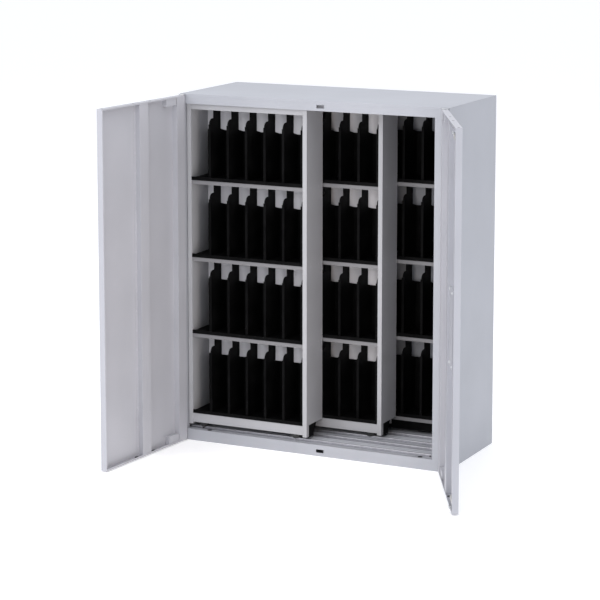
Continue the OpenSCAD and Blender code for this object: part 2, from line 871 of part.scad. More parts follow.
// Round dish let into the door's skin, with a rim and a hole for the spindle
module handle_dish() {
    wall = 1.2;
    y1 = hinge_y - door_r;
    color(zinc) right_door() translate([handle_x, 0, handle_z]) difference() {
        union() {
            along_y(y1 - rim_t, y1) circle(dish_r + 3);
            along_y(y1 - rim_t, y1 + dish_d + wall) circle(dish_r);
        }
        along_y(y1 - rim_t - 1, y1 + dish_d) circle(dish_r - wall);
        along_y(y1, y1 + dish_d + wall + 1) circle(spindle_r + play);
    }
}

// Grip bar, spindle and the crank disc whose two pins drive the rods
module handle() {
    y1 = hinge_y - door_r;
    grip_l = dish_r - 2.5;
    color(zinc) right_door() translate([handle_x, 0, handle_z]) {
        along_y(y1 - rim_t, y1 + dish_d - gap) {
            area([-grip_l + grip_w / 2, -grip_w / 2], [grip_l - grip_w / 2, grip_w / 2]);
            for (x = [-grip_l + grip_w / 2, grip_l - grip_w / 2])
                translate([x, 0]) circle(grip_w / 2);
        }
        along_y(y1, crank_y) circle(spindle_r);
        along_y(crank_y, crank_y + crank_t) circle(10);
        for (angle = [-45, 135]) rotate([0, angle, 0]) translate([-crank_r, 0, 0])
            along_y(crank_y, rod_y + rod_t) circle(crank_pin_r);
    }
}

// Rod drawn from the handle's axis upwards: slotted foot, bar, finger and hook
module latch_rod(length, foot_side) {
    bar = rod_w / 2;
    foot = 9.5;
    foot_z = 18;
    pin_x = crank_r * cos(45);
    room = crank_pin_r + 0.35;
    difference() {
        union() {
            along_y(rod_y, rod_y + rod_t) {
                mirror([foot_side < 0 ? 0 : 1, 0]) area([-foot, -8], [-0.5, foot_z + 8]);
                area([rod_jog - bar, foot_z], [foot_side < 0 ? -0.5 : foot, foot_z + 8]);
                area([rod_jog - bar, foot_z], [rod_jog + bar, length]);
            }
            translate([rod_jog, 0, 0]) {
                block([-bar, rod_y, length - finger_t], [bar, front_y + 6, length]);
                block([-bar, front_y + 3, length - finger_t],
                      [bar, front_y + 6, length + hook_tip]);
            }
        }
        along_y(rod_y - 1, rod_y + rod_t + 1) translate([0, -rod_travel / 2])
            mirror([foot_side < 0 ? 0 : 1, 0])
                area([-crank_r - room, -room], [-pin_x + room, room]);
    }
}

module upper_latch_rod() {
    finger_z = upper_slot_z - slot_h / 2 + 0.25 + finger_t;
    color(zinc) right_door() translate([handle_x, 0, handle_z])
        latch_rod(finger_z - handle_z, -1);
}

module lower_latch_rod() {
    finger_z = lower_slot_z + slot_h / 2 - 0.25 - finger_t;
    color(zinc) right_door() translate([handle_x, 0, handle_z])
        mirror([0, 0, 1]) latch_rod(handle_z - finger_z, 1);
}

// Lock barrel with its key slot and the tongue behind the door's skin
module lock_cylinder() {
    y0 = hinge_y - door_r - 2;
    y1 = skin_y + 4;
    color(zinc) right_door() translate([handle_x, 0, lock_z]) {
        difference() {
            union() {
                along_y(y0, y1) circle(lock_r);
                along_y(y0, y0 + 2 - gap) circle(lock_r + 2);
            }
            block([-0.8, y0 - 1, -4], [0.8, y0 + 3, 4]);
        }
        along_y(y1, y1 + 2) {
            circle(6);
            area([-4, 0], [4, 15]);
        }
    }
}

left_side_panel();
right_side_panel();
top_panel();
back_panel();
rear_base_rail();
base_cross_members();
floor_pan();
top_front_rail();
bottom_front_rail();
right_front_post();
front_row_tracks();
middle_row_tracks();
ceiling_guides();
buffers();
levelling_feet();
adjuster_caps();
left_hinge_brackets();
right_hinge_brackets();
rear_uprights();
rear_shelves();
rear_trays();
rear_left_dividers();
rear_right_dividers();
at_front() carrier_side();  // front_carrier_left_side
at_front() carrier_right_side();  // front_carrier_right_side
at_front() carrier_back();  // front_carrier_back
at_front() carrier_top();  // front_carrier_top
at_front() carrier_shelves();  // front_carrier_shelves
at_front() carrier_base();  // front_carrier_base
at_front() carrier_trays();  // front_carrier_trays
at_front() carrier_dividers();  // front_carrier_dividers
at_front() carrier_wheel_brackets();  // front_carrier_wheel_brackets
at_front() carrier_guide_blocks();  // front_carrier_guide_blocks
at_front() left_wheels();  // front_carrier_left_wheels
at_front() right_wheels();  // front_carrier_right_wheels
at_middle() carrier_side();  // middle_carrier_left_side
at_middle() carrier_right_side();  // middle_carrier_right_side
at_middle() carrier_back();  // middle_carrier_back
at_middle() carrier_top();  // middle_carrier_top
at_middle() carrier_shelves();  // middle_carrier_shelves
at_middle() carrier_base();  // middle_carrier_base
at_middle() carrier_trays();  // middle_carrier_trays
at_middle() carrier_dividers();  // middle_carrier_dividers
at_middle() carrier_wheel_brackets();  // middle_carrier_wheel_brackets
at_middle() carrier_guide_blocks();  // middle_carrier_guide_blocks
at_middle() left_wheels();  // middle_carrier_left_wheels
at_middle() right_wheels();  // middle_carrier_right_wheels
left_door_panel();
left_door_stiffener();
left_door_pivot_blocks();
right_door_panel();
right_door_stiffener();
right_door_pivot_blocks();
lock_case();
rod_guides();
handle_dish();
handle();
upper_latch_rod();
lower_latch_rod();
lock_cylinder();
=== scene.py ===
import math

import bmesh
import bpy
from mathutils import Matrix, Vector


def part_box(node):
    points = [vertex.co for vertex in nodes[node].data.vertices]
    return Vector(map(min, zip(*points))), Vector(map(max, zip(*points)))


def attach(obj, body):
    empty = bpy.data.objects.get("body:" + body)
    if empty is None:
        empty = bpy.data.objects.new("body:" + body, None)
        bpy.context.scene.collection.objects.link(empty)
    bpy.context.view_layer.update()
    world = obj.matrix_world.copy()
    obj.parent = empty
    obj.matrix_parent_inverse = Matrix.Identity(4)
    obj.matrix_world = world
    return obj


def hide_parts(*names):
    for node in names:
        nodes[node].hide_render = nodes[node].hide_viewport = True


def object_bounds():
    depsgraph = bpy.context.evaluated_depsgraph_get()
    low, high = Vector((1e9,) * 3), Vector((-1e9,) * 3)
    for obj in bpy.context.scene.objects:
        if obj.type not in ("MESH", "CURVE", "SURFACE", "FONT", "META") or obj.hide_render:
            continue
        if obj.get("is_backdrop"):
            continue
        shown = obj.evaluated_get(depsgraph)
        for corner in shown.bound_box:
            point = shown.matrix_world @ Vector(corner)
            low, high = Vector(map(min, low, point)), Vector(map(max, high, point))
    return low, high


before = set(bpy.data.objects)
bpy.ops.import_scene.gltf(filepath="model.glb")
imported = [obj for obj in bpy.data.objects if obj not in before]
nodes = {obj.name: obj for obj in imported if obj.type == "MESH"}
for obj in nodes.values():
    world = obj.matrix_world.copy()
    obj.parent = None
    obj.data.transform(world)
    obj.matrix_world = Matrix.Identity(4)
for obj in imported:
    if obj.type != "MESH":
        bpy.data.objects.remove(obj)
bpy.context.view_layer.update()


# Sheet metal of the body: folded steel of 1.2 mm, spot welded and powder coated in light grey.
# The folds leave small round edges, and the coat has a fine orange peel; along the edges its
# colour is lightened as a painted highlight.
sheet_edge = 0.0004
small_edge = 0.0003


def powder_coat(name, colour, peel=0.10, rough=0.42, edge_highlight=0.10):
    """A powder coat: fine peel, faint cloudiness, and a painted highlight that lightens the
    colour along edges.
    """
    m = bpy.data.materials.new(name)
    m.use_nodes = True
    t = m.node_tree
    n, link = t.nodes, t.links.new
    shader = n["Principled BSDF"]
    shader.inputs["Metallic"].default_value = 0.0
    shader.inputs["Specular IOR Level"].default_value = 0.45
    where = n.new("ShaderNodeTexCoord").outputs["Object"]
    cloud = n.new("ShaderNodeTexNoise")
    cloud.inputs["Scale"].default_value = 5.0
    cloud.inputs["Detail"].default_value = 4.0
    fine = n.new("ShaderNodeTexNoise")
    fine.inputs["Scale"].default_value = 700.0
    fine.inputs["Detail"].default_value = 2.0
    speck = n.new("ShaderNodeTexNoise")
    speck.inputs["Scale"].default_value = 1900.0
    for tex in (cloud, fine, speck):
        link(where, tex.inputs["Vector"])
    tone = n.new("ShaderNodeValToRGB")
    tone.color_ramp.elements[0].position = 0.30
    tone.color_ramp.elements[0].color = [c * 0.955 for c in colour] + [1]
    tone.color_ramp.elements[1].position = 0.70
    tone.color_ramp.elements[1].color = [min(1, c * 1.03) for c in colour] + [1]
    link(cloud.outputs["Fac"], tone.inputs["Fac"])
    # Painted highlight: where the bevelled normal turns away at a rounded edge, the colour is
    # mixed towards pale grey.
    bevel = n.new("ShaderNodeBevel")
    bevel.samples = 4
    bevel.inputs["Radius"].default_value = 0.0014
    flat = n.new("ShaderNodeNewGeometry")
    dot = n.new("ShaderNodeVectorMath")
    dot.operation = "DOT_PRODUCT"
    link(bevel.outputs["Normal"], dot.inputs[0])
    link(flat.outputs["Normal"], dot.inputs[1])
    edge = n.new("ShaderNodeMapRange")
    edge.inputs["From Min"].default_value = 0.97
    edge.inputs["From Max"].default_value = 0.80
    edge.inputs["To Max"].default_value = edge_highlight
    link(dot.outputs["Value"], edge.inputs["Value"])
    edge_highlight_mix = n.new("ShaderNodeMix")
    edge_highlight_mix.data_type = "RGBA"
    edge_highlight_mix.inputs["B"].default_value = (0.9, 0.9, 0.92, 1)
    link(edge.outputs["Result"], edge_highlight_mix.inputs["Factor"])
    link(tone.outputs["Color"], edge_highlight_mix.inputs["A"])
    link(edge_highlight_mix.outputs["Result"], shader.inputs["Base Color"])
    shine = n.new("ShaderNodeMapRange")
    shine.inputs["To Min"].default_value = rough - 0.05
    shine.inputs["To Max"].default_value = rough + 0.07
    link(speck.outputs["Fac"], shine.inputs["Value"])
    link(shine.outputs["Result"], shader.inputs["Roughness"])
    bump = n.new("ShaderNodeBump")
    bump.inputs["Strength"].default_value = peel
    bump.inputs["Distance"].default_value = 0.0004
    link(fine.outputs["Fac"], bump.inputs["Height"])
    link(bump.outputs["Normal"], shader.inputs["Normal"])
    return m


def round_edges(part, radius):
    """Rounds the sharp edges of a piece a little."""
    weld = part.modifiers.new("Weld", "WELD")
    weld.merge_threshold = 0.00002
    fold = part.modifiers.new("Fold", "BEVEL")
    fold.width = radius
    fold.segments = 2
    fold.limit_method = "ANGLE"
    fold.angle_limit = math.radians(35)
    even = part.modifiers.new("Even", "WEIGHTED_NORMAL")
    even.keep_sharp = True


def finish(names, material, radius=sheet_edge):
    """Gives CAD nodes their material and rounds their edges."""
    for name in names:
        part = nodes[name]
        part.data.materials.clear()
        part.data.materials.append(material)
        part.data.shade_smooth()
        round_edges(part, radius)


body_paint = powder_coat("body_paint", (0.36, 0.37, 0.405))
finish(
    ["left_side_panel", "right_side_panel", "top_panel", "back_panel", "rear_base_rail",
     "base_cross_members", "floor_pan", "top_front_rail", "bottom_front_rail",
     "right_front_post"],
    body_paint,
)


# Spot welds that hold the back panel to the side panels' flanges and to the base rail: flat
# round marks that the electrodes leave, coated over with the sheet.
weld_r = 0.0034
weld_h = 0.00016
weld_taper = 0.7
back_weld_pitch = 0.078
back_weld_in = 0.0075
rail_weld_count = 11
rail_weld_up = 0.016


def new_piece(name, bm, material, body):
    """Makes a piece of the cabinet from a bmesh, with its finish, and lets it ride on a body."""
    bmesh.ops.recalc_face_normals(bm, faces=bm.faces[:])
    mesh = bpy.data.meshes.new(name)
    bm.to_mesh(mesh)
    bm.free()
    mesh.materials.append(material)
    mesh.shade_smooth()
    piece = bpy.data.objects.new(name, mesh)
    bpy.context.scene.collection.objects.link(piece)
    crisp = piece.modifiers.new("Crisp", "EDGE_SPLIT")
    crisp.split_angle = math.radians(40)
    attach(piece, body)
    return piece


def facing(place, along):
    """A matrix that lays a small turned part on a surface, with its axis along a direction."""
    turn = Vector(along).to_track_quat("Z", "Y").to_matrix().to_4x4()
    return Matrix.Translation(Vector(place)) @ turn


def weld_mark(bm, place, along):
    """One electrode mark: a flat button with a sloping edge."""
    lift = Matrix.Translation((0, 0, weld_h / 2))
    bmesh.ops.create_cone(
        bm, cap_ends=True, segments=18, radius1=weld_r, radius2=weld_r * weld_taper,
        depth=weld_h, matrix=facing(place, along) @ lift)


back_lo, back_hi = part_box("back_panel")
back_welds = bmesh.new()
rows = int((back_hi[2] - back_lo[2]) / back_weld_pitch)
for i in range(rows):
    z = back_lo[2] + (i + 0.5) * (back_hi[2] - back_lo[2]) / rows
    for x in (back_lo[0] + back_weld_in, back_hi[0] - back_weld_in):
        weld_mark(back_welds, (x, back_hi[1], z), (0, 1, 0))
for i in range(rail_weld_count):
    x = back_lo[0] + (i + 0.5) * (back_hi[0] - back_lo[0]) / rail_weld_count
    weld_mark(back_welds, (x, back_hi[1], back_lo[2] + rail_weld_up), (0, 1, 0))
new_piece("back_panel_weld_marks", back_welds, body_paint, "cabinet")


# Tracks and ceiling channels: drawn steel strip, zinc plated. Their plating is given a darker
# grey and a rougher finish than the other zinc parts, with a faint spangle and fine marks along
# the strip.
def zinc_plate(name, colour=(0.62, 0.63, 0.64), rough=0.32, grain=(6, 300, 300)):
    """Zinc plated steel: metallic, faint spangle, fine drawing marks."""
    m = bpy.data.materials.new(name)
    m.use_nodes = True
    t = m.node_tree
    n, link = t.nodes, t.links.new
    shader = n["Principled BSDF"]
    shader.inputs["Metallic"].default_value = 1.0
    where = n.new("ShaderNodeTexCoord").outputs["Object"]
    stretch = n.new("ShaderNodeMapping")
    stretch.inputs["Scale"].default_value = grain
    link(where, stretch.inputs["Vector"])
    marks = n.new("ShaderNodeTexNoise")
    marks.inputs["Scale"].default_value = 4.0
    marks.inputs["Detail"].default_value = 3.0
    link(stretch.outputs["Vector"], marks.inputs["Vector"])
    spangle = n.new("ShaderNodeTexVoronoi")
    spangle.inputs["Scale"].default_value = 160.0
    link(where, spangle.inputs["Vector"])
    tone = n.new("ShaderNodeValToRGB")
    tone.color_ramp.elements[0].color = [c * 0.86 for c in colour] + [1]
    tone.color_ramp.elements[1].color = [min(1, c * 1.1) for c in colour] + [1]
    link(spangle.outputs["Color"], tone.inputs["Fac"])
    link(tone.outputs["Color"], shader.inputs["Base Color"])
    shine = n.new("ShaderNodeMapRange")
    shine.inputs["To Min"].default_value = rough - 0.08
    shine.inputs["To Max"].default_value = rough + 0.12
    link(marks.outputs["Fac"], shine.inputs["Value"])
    link(shine.outputs["Result"], shader.inputs["Roughness"])
    bump = n.new("ShaderNodeBump")
    bump.inputs["Strength"].default_value = 0.08
    bump.inputs["Distance"].default_value = 0.0002
    link(marks.outputs["Fac"], bump.inputs["Height"])
    link(bump.outputs["Normal"], shader.inputs["Normal"])
    return m


track_zinc = zinc_plate("track_zinc", colour=(0.40, 0.40, 0.43), rough=0.46)
finish(["front_row_tracks", "middle_row_tracks", "ceiling_guides"], track_zinc, small_edge)


# Screws that hold the tracks to the floor, one near each end of a track, through its front
# flange: pan heads of blackened steel with a sunk socket.
track_screw_in = 0.045
track_screw_r = 0.00252
track_screw_h = 0.0022
track_foot_h = 0.0015
track_half = 0.0085
track_flange = 0.0058
head_sides = 24
head_rounding = 0.45
socket_rim = 0.22
socket_depth = 0.5


def blackened(name):
    """Blackened steel: nearly black, faintly mottled, with an oily shine."""
    m = bpy.data.materials.new(name)
    m.use_nodes = True
    t = m.node_tree
    n, link = t.nodes, t.links.new
    shader = n["Principled BSDF"]
    shader.inputs["Metallic"].default_value = 0.8
    where = n.new("ShaderNodeTexCoord").outputs["Object"]
    mottle = n.new("ShaderNodeTexNoise")
    mottle.inputs["Scale"].default_value = 420.0
    mottle.inputs["Detail"].default_value = 4.0
    link(where, mottle.inputs["Vector"])
    tone = n.new("ShaderNodeValToRGB")
    tone.color_ramp.elements[0].color = (0.012, 0.012, 0.014, 1)
    tone.color_ramp.elements[1].color = (0.035, 0.034, 0.034, 1)
    link(mottle.outputs["Fac"], tone.inputs["Fac"])
    link(tone.outputs["Color"], shader.inputs["Base Color"])
    shine = n.new("ShaderNodeMapRange")
    shine.inputs["To Min"].default_value = 0.30
    shine.inputs["To Max"].default_value = 0.48
    link(mottle.outputs["Fac"], shine.inputs["Value"])
    link(shine.outputs["Result"], shader.inputs["Roughness"])
    bump = n.new("ShaderNodeBump")
    bump.inputs["Strength"].default_value = 0.1
    bump.inputs["Distance"].default_value = 0.0001
    link(mottle.outputs["Fac"], bump.inputs["Height"])
    link(bump.outputs["Normal"], shader.inputs["Normal"])
    return m


def socket_screw(bm, place, along, radius, height):
    """A pan head: a disc raised and rounded at its rim, with a round socket sunk into it."""
    seat = facing(place, along)
    rim = bmesh.ops.create_circle(
        bm, cap_ends=True, segments=head_sides, radius=radius, matrix=seat)
    base = list({f for v in rim["verts"] for f in v.link_faces})
    top = bmesh.ops.extrude_face_region(bm, geom=base)["geom"]
    up = seat.to_3x3() @ Vector((0, 0, 1))
    raised = [g for g in top if isinstance(g, bmesh.types.BMVert)]
    bmesh.ops.translate(bm, vec=up * height, verts=raised)
    crown = [g for g in top if isinstance(g, bmesh.types.BMFace)]
    bmesh.ops.bevel(
        bm, geom=list(crown[0].edges), offset=height * head_rounding, affect="EDGES",
        segments=3, profile=0.5, material=-1)
    crown = [f for f in bm.faces if len(f.verts) == head_sides and f.normal.dot(up) > 0.9
             and (f.calc_center_median() - Vector(place)).length < height * 1.2]
    bmesh.ops.inset_region(bm, faces=crown, thickness=radius * socket_rim, use_even_offset=True)
    bmesh.ops.translate(bm, vec=up * -height * socket_depth, verts=list(crown[0].verts))


screw_black = blackened("screw_black")
for row in ("front_row", "middle_row"):
    lo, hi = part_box(f"{row}_tracks")
    screws = bmesh.new()
    for x in (lo[0] + track_screw_in, hi[0] - track_screw_in):
        for y in (lo[1] + track_half - track_flange, hi[1] - track_half - track_flange):
            socket_screw(screws, (x, y, lo[2] + track_foot_h), (0, 0, 1), track_screw_r,
                         track_screw_h)
    new_piece(f"{row}_track_screws", screws, screw_black, "cabinet")


# Buffers on the side panels where the carriers stop: black rubber, moulded in one piece and
# pushed into a hole of the panel.
buffer_edge = 0.0006


def moulded(name, colour, rough=0.5, depth=0.12, scuff=0.25):
    """Moulded plastic or rubber: spark-eroded grain with a few paler scuffs."""
    m = bpy.data.materials.new(name)
    m.use_nodes = True
    t = m.node_tree
    n, link = t.nodes, t.links.new
    shader = n["Principled BSDF"]
    where = n.new("ShaderNodeTexCoord").outputs["Object"]
    fine = n.new("ShaderNodeTexNoise")
    fine.inputs["Scale"].default_value = 900.0
    broad = n.new("ShaderNodeTexNoise")
    broad.inputs["Scale"].default_value = 22.0
    broad.inputs["Detail"].default_value = 5.0
    for tex in (fine, broad):
        link(where, tex.inputs["Vector"])
    tone = n.new("ShaderNodeValToRGB")
    tone.color_ramp.elements[0].position = 0.35
    tone.color_ramp.elements[0].color = list(colour) + [1]
    tone.color_ramp.elements[1].position = 0.85
    tone.color_ramp.elements[1].color = [min(1, c * (1 + scuff) + 0.004) for c in colour] + [1]
    link(broad.outputs["Fac"], tone.inputs["Fac"])
    link(tone.outputs["Color"], shader.inputs["Base Color"])
    shine = n.new("ShaderNodeMapRange")
    shine.inputs["To Min"].default_value = rough - 0.06
    shine.inputs["To Max"].default_value = rough + 0.08
    link(broad.outputs["Fac"], shine.inputs["Value"])
    link(shine.outputs["Result"], shader.inputs["Roughness"])
    bump = n.new("ShaderNodeBump")
    bump.inputs["Strength"].default_value = depth
    bump.inputs["Distance"].default_value = 0.0003
    link(fine.outputs["Fac"], bump.inputs["Height"])
    link(bump.outputs["Normal"], shader.inputs["Normal"])
    return m


buffer_rubber = moulded("buffer_rubber", (0.012, 0.012, 0.013), rough=0.7)
finish(["buffers"], buffer_rubber, buffer_edge)


# Levelling feet: zinc plated steel feet, turned, on studs with nuts. The front ones are reached
# from above, through holes in the ledge that black plastic caps close.
foot_zinc = zinc_plate("foot_zinc", grain=(200, 200, 20))
cap_plastic = moulded("cap_plastic", (0.015, 0.015, 0.017), rough=0.4)
finish(["levelling_feet"], foot_zinc, small_edge)
finish(["adjuster_caps"], cap_plastic, small_edge)


# Crowns of the adjuster caps: low black plastic domes, moulded in one with the caps, whose rims
# stay free as a ring round them.
cap_lo, cap_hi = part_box("adjuster_caps")
cap_r = 0.007
crown_r = cap_r * 0.72
crown_h = 0.0009
cap_crowns = bmesh.new()
for x in (cap_lo[0] + cap_r, cap_hi[0] - cap_r):
    seat = Matrix.Translation((x, (cap_lo[1] + cap_hi[1]) / 2, cap_hi[2]))
    bmesh.ops.create_uvsphere(
        cap_crowns, u_segments=28, v_segments=12, radius=1,
        matrix=seat @ Matrix.Diagonal((crown_r, crown_r, crown_h, 1)))
new_piece("adjuster_cap_crowns", cap_crowns, cap_plastic, "cabinet")


# Racks: the fixed one at the back and the two sliding carriers, folded from 1 mm steel and powder
# coated. The posts, tops and bases are nearly the body's grey; the shelves are coloured darker as
# painted shade, and the carriers' back sheets lighter as painted light.
carriers = ("front_carrier", "middle_carrier")
rack_coat = powder_coat("rack_coat", (0.37, 0.372, 0.392), peel=0.08, rough=0.45)
# Painted shade: the shelves' coat is darker than the posts' so their lips read shaded. Painted
# light: the back sheets' coat is lighter, standing in for light inside the bays.
shelf_painted_shade_coat = powder_coat(
    "shelf_painted_shade_coat", (0.190, 0.188, 0.198), peel=0.08, rough=0.5, edge_highlight=0.04)
rack_back_painted_light_coat = powder_coat("rack_back_painted_light_coat", (0.66, 0.65, 0.68), peel=0.08, rough=0.5)
finish(["rear_uprights"], rack_coat, small_edge)
finish(["rear_shelves"], shelf_painted_shade_coat, small_edge)
for carrier in carriers:
    for piece in ("left_side", "right_side", "top", "base"):
        finish([f"{carrier}_{piece}"], rack_coat, small_edge)
    finish([f"{carrier}_shelves"], shelf_painted_shade_coat, small_edge)
    finish([f"{carrier}_back"], rack_back_painted_light_coat, small_edge)


# Spot welds on the carriers' side posts, two where the end flange of a shelf or of the top rail
# meets the post: flat round marks of the electrodes, coated over.
post_weld_levels = (0.3385, 0.582, 0.8255, 1.0605)
post_weld_front = 0.030
post_weld_rear = 0.028
for carrier in carriers:
    welds = bmesh.new()
    for side, along in (("left_side", (-1, 0, 0)), ("right_side", (1, 0, 0))):
        lo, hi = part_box(f"{carrier}_{side}")
        x = lo[0] if along[0] < 0 else hi[0]
        for z in post_weld_levels:
            for y in (lo[1] + post_weld_front, hi[1] - post_weld_rear):
                weld_mark(welds, (x, y, z), along)
    new_piece(f"{carrier}_weld_marks", welds, rack_coat, carrier)


# Trays of the racks: black moulded plastic, one laid on each shelf. They hold the feet of the
# dividers, which are made of the same plastic.
divider_black = moulded("divider_black", (0.0012, 0.0012, 0.0014), rough=0.55, depth=0.10)
divider_black.node_tree.nodes["Principled BSDF"].inputs["Specular IOR Level"].default_value = 0.06
finish(["rear_trays", "front_carrier_trays", "middle_carrier_trays"], divider_black, small_edge)


# Dividers: black plates moulded with a thicker border, so the panel of each side lies a
# little deeper. Their feet are clipped into the trays and their necks into the shelf above.
# The neck stands well behind the front edge, and the rear shoulder falls towards the back.
border_w = 0.0032
panel_sink = 0.0005
panel_area = 0.004
neck_from, neck_to = 0.019, 0.064
neck_margin = 0.0004
neck_back = 0.008
shoulder_levels = (0.264, 0.5075, 0.751, 0.985)
level_margin = 0.001
shoulder_run = 0.042
shoulder_fall = 0.009
divider_sets = (("front_carrier_dividers", "front_carrier"),
                ("middle_carrier_dividers", "middle_carrier"),
                ("rear_left_dividers", "cabinet"), ("rear_right_dividers", "cabinet"))
for group, body in divider_sets:
    plates = bmesh.new()
    plates.from_mesh(nodes[group].data)
    bmesh.ops.remove_doubles(plates, verts=plates.verts[:], dist=0.00001)
    bmesh.ops.dissolve_limit(
        plates, angle_limit=math.radians(1), verts=plates.verts[:], edges=plates.edges[:])
    front_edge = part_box(group)[0][1]
    for v in plates.verts:
        depth = v.co.y - front_edge
        if neck_from - neck_margin < depth < neck_to + neck_margin:
            v.co.y += neck_back
        elif depth > neck_to and any(abs(v.co.z - z) < level_margin for z in shoulder_levels):
            v.co.z -= shoulder_fall * (depth - neck_to) / shoulder_run
    sides = [f for f in plates.faces if abs(f.normal.x) > 0.99 and f.calc_area() > panel_area]
    bmesh.ops.inset_individual(
        plates, faces=sides, thickness=border_w, depth=-panel_sink, use_even_offset=True)
    piece = new_piece(f"{group}_moulded", plates, divider_black, body)
    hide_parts(group)


# Backs of the divider sets: thin black sheets behind each bay's dividers, from the tray up to
# the rear shoulders, snapped onto the dividers' rear edges.
lining_t = 0.0004
lining_gap = 0.0001
lining_left = 0.0585
lining_right = 0.0005
lining_drop = 0.0085
bay_floors = (0.092, 0.349, 0.5925, 0.836)
for group, body in divider_sets:
    lo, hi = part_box(group)
    lining = bmesh.new()
    left, right = lo[0] - lining_left, hi[0] + lining_right
    for z0, z1 in zip(bay_floors, shoulder_levels):
        top = z1 - lining_drop
        middle = ((left + right) / 2, hi[1] + lining_t / 2 - lining_gap, (z0 + top) / 2)
        size = Matrix.Diagonal((right - left, lining_t, top - z0, 1))
        bmesh.ops.create_cube(lining, size=1, matrix=Matrix.Translation(middle) @ size)
    new_piece(f"{group}_linings", lining, divider_black, body)


# Kick strips of the rear rack: thin black plastic strips that are clipped behind the lowest
# shelves' lips and end above the floor pan, one on each side of the middle upright.
kick_t = 0.0015
kick_in = 0.005
kick_up = 0.004
kick_gap = 0.008
upright_half = 0.0045
shelf_lo, shelf_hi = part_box("rear_shelves")
kick_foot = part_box("floor_pan")[1][2] + kick_gap
kicks = bmesh.new()
for x0, x1 in ((shelf_lo[0], -upright_half), (upright_half, shelf_hi[0])):
    middle = Vector(((x0 + x1) / 2, shelf_lo[1] + kick_in + kick_t / 2,
                     (kick_foot + shelf_lo[2] + kick_up) / 2))
    size = Matrix.Diagonal((x1 - x0, kick_t, shelf_lo[2] + kick_up - kick_foot, 1))
    bmesh.ops.create_cube(kicks, size=1, matrix=Matrix.Translation(middle) @ size)
new_piece("rear_kick_strips", kicks, divider_black, "cabinet")


# Running gear of the carriers: cheeks of plated steel under the base, coloured near black as
# painted shade, wheels of black nylon on steel axles, kept black as painted shade too, and pale
# nylon blocks that run in the ceiling channels.
# Painted shade: the cheeks and hub caps get a near-black zinc and the wheels black, so the space
# under the carriers reads dark.
bracket_painted_shade = zinc_plate("bracket_painted_shade", colour=(0.10, 0.10, 0.105), rough=0.42)
wheel_nylon = moulded("wheel_nylon", (0.42, 0.41, 0.39), rough=0.45, depth=0.05, scuff=-0.15)
wheel_black_painted_shade = moulded("wheel_black_painted_shade", (0.014, 0.014, 0.015), rough=0.42, depth=0.05)
for carrier in carriers:
    finish([f"{carrier}_wheel_brackets"], bracket_painted_shade, small_edge)
    finish([f"{carrier}_left_wheels", f"{carrier}_right_wheels"], wheel_black_painted_shade, small_edge)
    finish([f"{carrier}_guide_blocks"], wheel_nylon, small_edge)


# Painted shade in the wheel bays: black sheets inside the carriers' posts, just under the lowest
# shelf, that stand in for the shade at each end of the wheel bay. Their lower rear corner is cut
# away.
shade_sheet_t = 0.0015
shade_sheet_in = 0.003
shade_sheet_front = 0.020
shade_sheet_rear = 0.078
shade_sheet_foot = 0.0455
shade_sheet_head = 0.0885
shade_sheet_cut = 0.022
for carrier in carriers:
    shade_sheets = bmesh.new()
    for side, inward in (("left_side", 1), ("right_side", -1)):
        lo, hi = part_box(f"{carrier}_{side}")
        outer = lo[0] if inward > 0 else hi[0]
        middle = Vector((outer + inward * (shade_sheet_in + shade_sheet_t / 2),
                         lo[1] + (shade_sheet_front + shade_sheet_rear) / 2,
                         (shade_sheet_foot + shade_sheet_head) / 2))
        size = Matrix.Diagonal(
            (shade_sheet_t, shade_sheet_rear - shade_sheet_front, shade_sheet_head - shade_sheet_foot, 1))
        made = bmesh.ops.create_cube(shade_sheets, size=1, matrix=Matrix.Translation(middle) @ size)
        for v in made["verts"]:
            if v.co.y > middle.y and v.co.z < middle.z:
                v.co.y -= shade_sheet_cut
    new_piece(f"{carrier}_wheel_bay_shade_sheets", shade_sheets, divider_black, carrier)


# Hub caps: plated steel caps, coloured near black as painted shade like the wheel cheeks, pushed
# on both ends of each axle, each a low dome over a flat flange.
hub_r = 0.0062
hub_h = 0.0016
dome_r = hub_r * 0.62
flange_h = 0.0006
flange_taper = 0.92
for carrier in carriers:
    for side in ("left_wheels", "right_wheels"):
        lo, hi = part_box(f"{carrier}_{side}")
        x, z = (lo[0] + hi[0]) / 2, (lo[2] + hi[2]) / 2
        caps = bmesh.new()
        for y, along in ((lo[1], (0, -1, 0)), (hi[1], (0, 1, 0))):
            seat = facing((x, y, z), along)
            bmesh.ops.create_uvsphere(
                caps, u_segments=24, v_segments=10, radius=1,
                matrix=seat @ Matrix.Diagonal((dome_r, dome_r, hub_h, 1)))
            bmesh.ops.create_cone(
                caps, cap_ends=True, segments=24, radius1=hub_r, radius2=hub_r * flange_taper,
                depth=flange_h, matrix=seat)
        new_piece(f"{carrier}_{side}_hub_caps", caps, bracket_painted_shade, f"{carrier}_{side}")


# Inner parts of the doors: hat stiffeners and pivot blocks of steel, welded into the pans and
# powder coated with them. The hinge brackets with their pins are zinc plated.
door_paint = powder_coat("door_paint", (0.418, 0.42, 0.455))
hinge_zinc = zinc_plate("hinge_zinc")
for side in ("left", "right"):
    finish([f"{side}_door_stiffener", f"{side}_door_pivot_blocks"], door_paint)
    finish([f"{side}_hinge_brackets"], hinge_zinc, small_edge)


# Pans of the doors: sheet steel in the same coat, with its edges folded twice. The second fold
# leaves a lip of only 5 mm along the free edge, the top and the bottom.
door_hinge_x = 0.439
door_hinge_y = -0.200
door_open = {"left": math.radians(-94.5), "right": math.radians(117.5)}
meeting_half = 0.0015
cad_lip = 0.015
lip = 0.005
lip_sheet = 0.0015
on_line = 0.0003
door_sides = (("left", -1), ("right", 1))


def on_door(side):
    """The matrix that swings a piece drawn on the closed door to where the door stands."""
    hinge = Vector((door_hinge_x if side == "right" else -door_hinge_x, door_hinge_y, 0))
    return (Matrix.Translation(hinge) @ Matrix.Rotation(door_open[side], 4, "Z")
            @ Matrix.Translation(-hinge))


